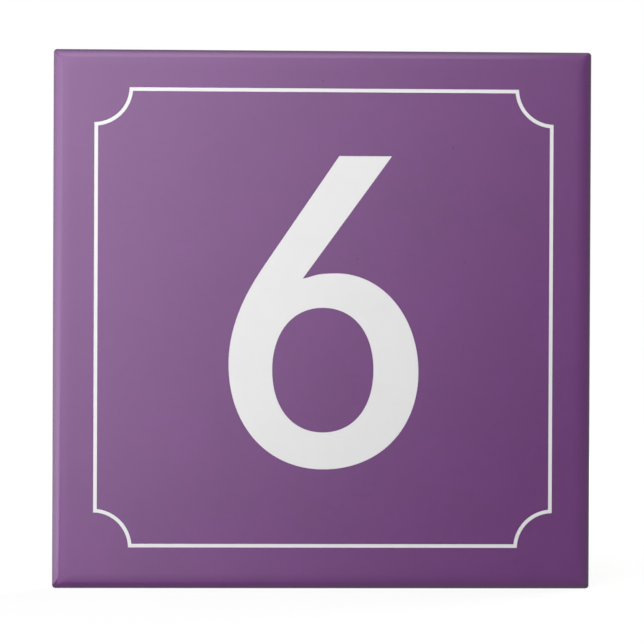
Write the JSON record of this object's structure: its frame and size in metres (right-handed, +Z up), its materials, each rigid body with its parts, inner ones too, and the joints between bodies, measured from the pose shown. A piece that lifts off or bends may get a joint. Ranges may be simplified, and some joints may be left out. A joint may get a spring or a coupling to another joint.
{
  "type": "number tile",
  "caption": "Square glazed ceramic house-number tile with a rounded face edge, a white number inside a thin scooped-corner border, and a keyed back for fixing to a wall.",
  "frame": {"origin": "centre of the back, on the crossed ribs that lie against the wall", "axes": "+Y out of the back into the wall, face towards -Y, +Z up the number, +X to the right of someone reading it"},
  "size_m": [0.152, 0.0065, 0.152],
  "materials": {
    "purple_glaze": "glossy purple glaze on the face and its rounded edge, bare fired clay on the sides and back",
    "white_print": "glossy white, flush with the purple glaze"
  },
  "bodies": {
    "root": {"tile": "purple_glaze", "number": "white_print", "border": "white_print"}
  },
  "joints": []
}
